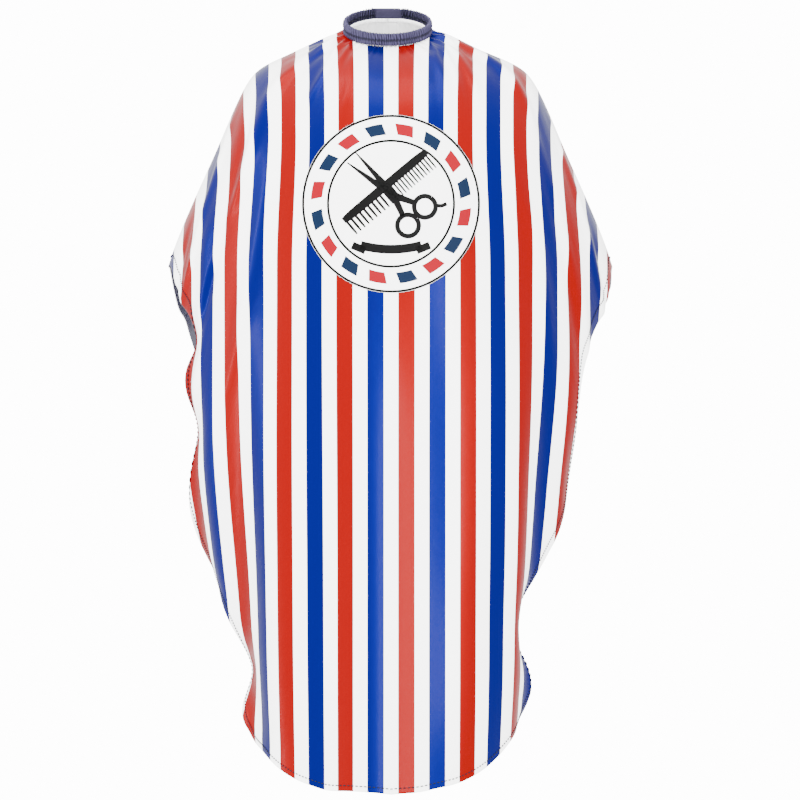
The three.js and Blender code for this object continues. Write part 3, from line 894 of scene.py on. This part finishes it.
# The gathers are three rows of waves round the band whose spacing wanders; below the groove they are out of step
# with those above. They are strongest beside the closure, where the elastic's ends are held, and calm on the neck
# side of the lower row.
wander = 0.9 * np.sin(9 * aa + 0.7) + 0.7 * np.sin(23 * aa + 2.1)
upper_row = hh > groove_at
phase = np.where(upper_row, 0.0, 1.9) + 0.12 * hh
gather = (
    0.8 * np.sin(141 * aa + wander * 1.8 + phase)
    + 0.7 * np.sin(97 * aa + 2.4 * np.sin(11 * aa) + 1.3 * phase + 0.22 * hh)
    + 0.5 * np.sin(212 * aa + 2.1 * np.sin(17 * aa) + 2.0 * phase - 0.3 * hh)
) / 1.6
near_end = bump(band_end, 0.16, np.abs(aa))
strength = (0.95 + 0.65 * near_end) * (1 - 0.5 * groove[kk])
strength = strength * smooth(0, 0.012, band_end - np.abs(aa))
radial_h = hh / row_height
inside_low = (np.cos(phi)[kk] < 0) * smooth(1.0, -2.5, hh)
swell = gather * strength * (1 - 0.7 * inside_low)
band_out = depth_of[kk] + swell * signed_power(np.cos(phi), 0.3)[kk]
band_up = hh + (gather * strength * (0.8 + 0.9 * near_end * (hh > 0))) * radial_h**3 + near_end * 0.4 * radial_h
narrow = 1 - 0.06 * smooth(0.05, 0, band_end - np.abs(aa))
outer_ring = band_point(aa, band_out, band_up * narrow)

# The channel inside, for the elastic, and the lips that join it to the outside at both ends.
cavity = 12
psi = 2 * np.pi * np.arange(cavity) / cavity
cavity_up = 7.6 * signed_power(np.sin(psi), 0.4)
cavity_out = 1.25 * signed_power(np.cos(psi), 0.4)
inner_count = 261
ai = np.linspace(-band_end, band_end, inner_count)
ag, kg = np.meshgrid(ai, np.arange(cavity), indexing="ij")
inner_ring = band_point(ag, cavity_out[kg], cavity_up[kg])
points = np.vstack([outer_ring.reshape(-1, 3), inner_ring.reshape(-1, 3)])
start = around * loop
faces = tube_faces(around, loop) + tube_faces(inner_count, cavity, start, True)
ratio = loop // cavity
mouth = np.arange(loop)
last_of_step = mouth % ratio == ratio - 1
for first_out, first_in, flip in ((0, start, True), ((around - 1) * loop, start + (inner_count - 1) * cavity, False)):
    o, p = first_out + mouth, first_out + (mouth + 1) % loop
    q, r = first_in + mouth // ratio, first_in + (mouth // ratio + 1) % cavity
    lips = np.vstack([np.stack([o, p, np.where(last_of_step, r, q)], -1), np.stack([o, r, q], -1)[last_of_step]])
    faces += (lips[:, ::-1] if flip else lips).tolist()
casing = add_mesh("neckband_ruched", points, faces, [band_cloth])
shade = casing.data.attributes.new("gather", "FLOAT", "POINT")
# Painted shade and highlight: lighter on the gathers' crests, darker down between them, in the stitched groove and on
# the neck side inside the ring; the hidden channel gets a plain middle tone.
painted_gather_shade = 0.52 + 0.46 * gather - 0.6 * groove[kk] - 0.28 * (np.cos(phi)[kk] < -0.2)
painted_gather_shade = np.concatenate([painted_gather_shade.ravel(), np.full(inner_count * cavity, 0.4)])
shade.data.foreach_set("value", np.clip(painted_gather_shade, 0, 1).astype(np.float32))
fasten(casing, "neckband_casing")


# ---------- seam allowance inside the band ----------
# The sheet's own gathered neck edge, turned up inside the band as far as its row of stitching and caught there. It
# shows its wrong side, and is held in under the closure's flat stretch at the nape.

inside_a = np.linspace(-np.pi + 0.02, np.pi + 0.06, 900)
profile = np.array([(-0.3, -10.9), (-2.0, -11.4), (-3.5, -10.0), (-3.9, -8.2), (-3.9, -6.4), (-3.7, -4.8)])
lean = np.gradient(profile, axis=0)
lean = np.stack([lean[:, 1], -lean[:, 0]], -1) / np.linalg.norm(lean, axis=1, keepdims=True)
layers = []
turn_up = -10.5
for away_by in (-0.22, 0.22):
    at_a, k = np.meshgrid(inside_a, np.arange(len(profile)), indexing="ij")
    ripple_in = 0.28 * np.sin(70 * at_a + 2 * np.sin(6 * at_a)) * (profile[k, 1] > turn_up)
    out = profile[k, 0] + lean[k, 0] * away_by + ripple_in - 0.7 * smooth(np.pi - 0.12, np.pi - 0.02, at_a)
    layer = band_point(at_a, out, profile[k, 1] + lean[k, 1] * away_by)
    flat_y = band_b * np.sqrt(1 - (closure_width / 2 / band_a) ** 2) - 3.1 + ripple_in
    level = layer[..., 1] * np.cos(neck_tilt) + (layer[..., 2] - neck_lift) * np.sin(neck_tilt)
    over = np.maximum(0, level - flat_y) * (profile[k, 1] > turn_up)
    layer[..., 1] -= over * np.cos(neck_tilt)
    layer[..., 2] -= over * np.sin(neck_tilt)
    layers.append(layer.reshape(-1, 3))
allowance = add_mesh("neck_seam_allowance", np.vstack(layers), slab_faces(len(inside_a), len(profile)), [wrong_side],
                     uv=np.zeros((2 * len(layers[0]), 2)))
fasten(allowance, "cape_cloth")


# ---------- neck elastic ----------
# White woven elastic, 16 mm wide and ribbed across, that lies loose in the casing's channel and gathers it. Both
# ends are held by bar tacks.

# Woven polyester over rubber: off-white and quite matt.
elastic_cloth = new_material("woven elastic", Base_Color=linear("#d8d8d4"), Roughness=0.8)[0]
steps, ring = 900, 10
ae = np.linspace(-band_end + 0.01, band_end - 0.01, steps)
eta = 2 * np.pi * (np.arange(ring) + 0.5) / ring
ag, kg = np.meshgrid(ae, np.arange(ring), indexing="ij")
e_up = 7.0 * signed_power(np.sin(eta), 0.5)[kg]
e_out = 0.62 * signed_power(np.cos(eta), 0.5)[kg] * (1 + 0.22 * np.sin(300 * ag))
points = band_point(ag, e_out, e_up).reshape(-1, 3)
faces = tube_faces(steps, ring) + [tuple(range(ring))[::-1], tuple(range((steps - 1) * ring, steps * ring))]
elastic = add_mesh("neck_elastic_ribbed", points, faces, [elastic_cloth])
fasten(elastic, "neck_elastic")


# ---------- neckband stitching ----------
# One row of lockstitch in the same slate thread round the outside of the band, drawn down into the gathers, which
# makes the groove between the two puffed rows.

band_length = 2 * band_end * (band_a + band_b) / 2
count = int(band_length / 3.3)  # one stitch every 3.3 mm
mid = -band_end + (np.arange(count) + 0.5) * 2 * band_end / count
half = 0.36 * 2 * band_end / count
groove_up = np.full(count, groove_at)
out = np.full(count, 1.95)
starts, ends = band_point(mid - half, out, groove_up), band_point(mid + half, out, groove_up)
ups = band_point(mid, out + 1, groove_up) - band_point(mid, out, groove_up)
points, faces = rods(starts, ends, ups, 0.26, 0.1, 0.2)
band_stitches = add_mesh("neckband_stitches", points, faces, [thread])
fasten(band_stitches, "neckband_stitching")


# ---------- bar tacks ----------
# Eleven close wraps of the same thread over the casing's lower row, 4 mm from each of its ends. They hold the ends
# of the elastic, and pucker the band there.

for side, node in ((-1, "elastic_tack_left"), (1, "elastic_tack_right")):
    at = side * (np.pi - np.arcsin((closure_width / 2 + 4) / band_a))
    wraps = np.linspace(-8.6, -2.2, 11)
    at_all, over, half_turn = np.full(11, at), np.full(11, 3.05), 0.016
    starts = band_point(at_all - half_turn, over, wraps)
    ends = band_point(at_all + half_turn, over, wraps + 0.25)
    ups = band_point(at_all, over + 1, wraps) - band_point(at_all, over, wraps)
    points, faces = rods(starts, ends, ups, 0.3, 0.35, 0.25)
    tack = add_mesh(node.replace("elastic_", "bar_"), points, faces, [thread])
    fasten(tack, node)


# ---------- closure tabs ----------
# The band's two flat, ungathered ends, in the same slate polyester, pressed flat and stitched round their border.
# The under tab lies on the neck side; the outer tab laps over it from outside and peels off.

# The same polyester poplin, pressed flat: matt, with a little unevenness of dye over about 11 mm.
tab_cloth, tree, shader = new_material("slate polyester", Roughness=0.6, Specular_IOR_Level=0.12)
place = add_node(tree, "ShaderNodeTexCoord")
weave = add_node(tree, "ShaderNodeTexNoise", Vector=place.outputs["Object"], Scale=2600.0, Detail=2.0)
weave_bump = add_node(tree, "ShaderNodeBump", Strength=0.3, Distance=0.0002, Height=weave.outputs[0])
cloud = add_node(tree, "ShaderNodeTexNoise", Vector=place.outputs["Object"], Scale=90.0, Detail=3.0)
tone = add_node(
    tree, "ShaderNodeMix", {"data_type": "RGBA"},
    at_0=cloud.outputs[0], at_6=linear("#232033"), at_7=linear("#292639"),
)
tree.links.new(tone.outputs[2], shader.inputs["Base Color"])
tree.links.new(weave_bump.outputs[0], shader.inputs["Normal"])

nape_y = band_b * np.sqrt(1 - (closure_width / 2 / band_a) ** 2) + 0.5
tab_thick, tape_thick, between = 1.2, 1.0, 0.3
layer_y, at = {}, nape_y - (tab_thick * 2 + tape_thick * 2 + between * 3) / 2
for layer, thick in (("under", tab_thick), ("hook", tape_thick), ("loop", tape_thick), ("outer", tab_thick)):
    layer_y[layer] = (at, at + thick)
    at += thick + between


def soft_plate(name, x0, x1, y0, y1, half_height, material, nx=40, nz=20):
    """A flat sewn plate with soft edges: thickness 0.25 + 0.75 sqrt(1 - (1 - d)^2) over the first 0.9 mm from the
    rim, a dent of 0.16 mm along border stitching 2.2 mm in, and corners of 1.4 mm."""
    ss, tt = np.meshgrid(np.linspace(-1, 1, nx), np.linspace(-1, 1, nz), indexing="ij")
    half_width = (x1 - x0) / 2
    from_rim = np.minimum((1 - np.abs(ss)) * half_width, (1 - np.abs(tt)) * half_height)
    full = np.clip(from_rim / 0.9, 0, 1)
    half = (y1 - y0) / 2 * (0.25 + 0.75 * np.sqrt(1 - (1 - full) ** 2)) - 0.16 * bump(2.2, 0.7, from_rim)
    corner = 1.4
    cut_x = np.clip((np.abs(ss) * half_width - (half_width - corner)) / corner, 0, 1)
    x = (x0 + x1) / 2 + ss * half_width
    z = tt * half_height * (1 - (1 - np.sqrt(1 - 0.6 * cut_x**2)) * corner / half_height)
    middle = (y0 + y1) / 2
    front = tilt(np.stack([x, middle - half, z], -1)).reshape(-1, 3)
    back = tilt(np.stack([x, middle + half, z], -1)).reshape(-1, 3)
    return add_mesh(name, np.vstack([front, back]), slab_faces(nx, nz), [material])


under = soft_plate("under_tab_cloth", -18.2, 21.5, *layer_y["under"], 9.4, tab_cloth)
fasten(under, "closure_under_tab")
outer_tab = soft_plate("outer_tab_cloth", -21.5, 18.2, *layer_y["outer"], 9.4, tab_cloth)
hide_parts("closure_outer_tab")
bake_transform(outer_tab)


# ---------- hook and loop tape ----------
# Woven nylon tapes, 28 by 15 mm, sewn to the facing sides of the tabs: one with rows of small moulded hooks, the
# other with a mat of fine loops.

# Solution-dyed nylon: near black, with the soft gloss of fine moulded and woven thread.
hook_tape_cloth = new_material("nylon hook and loop", Base_Color=linear("#0f0f1c"), Roughness=0.55)[0]


def tape_plate(name, y0, y1, node, body):
    """The woven ground of one tape, between two depths."""
    plate = soft_plate(name, -14.0, 14.0, y0, y1, 7.5, hook_tape_cloth, nx=24, nz=14)
    fasten(plate, node, body)


ground = 0.5
tape_plate("hook_tape_base", layer_y["hook"][0], layer_y["hook"][0] + ground, "hook_tape", "cape")
tape_plate("loop_tape_base", layer_y["loop"][1] - ground, layer_y["loop"][1], "loop_tape", "closure")
band_up_way, neck_way = tilt((0, 0, 1.0)) - tilt((0, 0, 0)), tilt((0, -1.0, 0)) - tilt((0, 0, 0))

# Hooks: one every 1.2 by 1.15 mm, each a stem that leans a little and stops short of the other tape.
hx, hz = np.meshgrid(np.arange(-12.6, 12.7, 1.2), np.arange(-6.2, 6.3, 1.15), indexing="ij")
hx, hz = hx.ravel(), hz.ravel()
hook_count = len(hx)
stem_low = tilt(np.stack([hx, np.full(hook_count, layer_y["hook"][0] + 0.45), hz], -1))
stem_top = tilt(np.stack([hx + 0.12, np.full(hook_count, layer_y["hook"][1] - 0.12), hz + 0.25], -1))
points, faces = rods(stem_low, stem_top, np.tile(band_up_way, (hook_count, 1)), 0.13, 0.0, 0.18, sides=5)
hooks = add_mesh("hook_pile", points, faces, [hook_tape_cloth])
fasten(hooks, "hook_tape")

# Loops: arches of fine thread at chance places and headings.
random = np.random.default_rng(7)
loop_count = 420
spots = random.uniform((-12.8, -6.4), (12.8, 6.4), (loop_count, 2))
heading = random.uniform(0, np.pi, loop_count)
half_span = random.uniform(0.5, 0.9, loop_count)
span_x, span_z = half_span * np.cos(heading), half_span * np.sin(heading)
root_y = np.full(loop_count, layer_y["loop"][1] - 0.48)
starts = tilt(np.stack([spots[:, 0] - span_x, root_y, spots[:, 1] - span_z], -1))
ends = tilt(np.stack([spots[:, 0] + span_x, root_y, spots[:, 1] + span_z], -1))
points, faces = rods(starts, ends, np.tile(neck_way, (loop_count, 1)), 0.09, 0.0, 0.4, sides=4, rings=6)
loops = add_mesh("loop_pile", points, faces, [hook_tape_cloth])
fasten(loops, "loop_tape", "closure")


# ---------- the room ----------
# A plain pale floor under a standing wearer's feet and a white dome, brighter in front and above. Two tall panels
# and a softbox overhead give the stripes their long sheens.

# Painted concrete, pale grey and matt.
floor_material = new_material("pale floor", Base_Color=linear("#e4e4e4"), Roughness=0.8)[0]
turn = np.linspace(0, 2 * np.pi, 96, endpoint=False)
disc_points = np.stack([3500 * np.cos(turn), 3500 * np.sin(turn), np.full(96, -1450.0)], -1)
floor = add_mesh("floor", disc_points, [tuple(range(96))], [floor_material])

world = bpy.data.worlds.new("studio")
bpy.context.scene.world = world
world.use_nodes = True
tree = world.node_tree
background = tree.nodes["Background"]
background.inputs[0].default_value = (1, 1, 1, 1)
seen = add_node(tree, "ShaderNodeLightPath")
looking = add_node(tree, "ShaderNodeTexCoord")
towards = add_node(tree, "ShaderNodeVectorMath", {"operation": "DOT_PRODUCT"}, at_0=looking.outputs["Generated"])
towards.inputs[1].default_value = (-0.22, -0.88, 0.42)
dome = add_node(
    tree, "ShaderNodeMapRange", {"interpolation_type": "SMOOTHSTEP"},
    Value=towards.outputs["Value"], From_Min=-0.5, From_Max=0.9, To_Min=2.7, To_Max=5.2,
)
strength = add_node(tree, "ShaderNodeMix", {"data_type": "FLOAT"}, Factor=seen.outputs["Is Camera Ray"])
tree.links.new(dome.outputs[0], strength.inputs[2])
strength.inputs[3].default_value = 14.0
tree.links.new(strength.outputs[0], background.inputs[1])


def add_softbox(name, place, aim, size, power):
    """A rectangular area light at place, facing aim."""
    data = bpy.data.lights.new(name, "AREA")
    data.shape = "RECTANGLE"
    data.size, data.size_y = size
    data.energy = power
    lamp = bpy.data.objects.new(name, data)
    lamp.location = place
    lamp.rotation_euler = (Vector(aim) - Vector(place)).to_track_quat("-Z", "Y").to_euler()
    bpy.context.collection.objects.link(lamp)


add_softbox("right panel", (1.05, -4.2, -0.4), (0.05, -0.1, -0.6), (0.45, 3.2), 280)
add_softbox("left panel", (-3.6, -1.6, -0.2), (-0.1, 0, -0.5), (0.5, 2.8), 145)
add_softbox("top softbox", (-0.4, -1.4, 2.6), (0, 0, -0.2), (2.4, 1.2), 135)
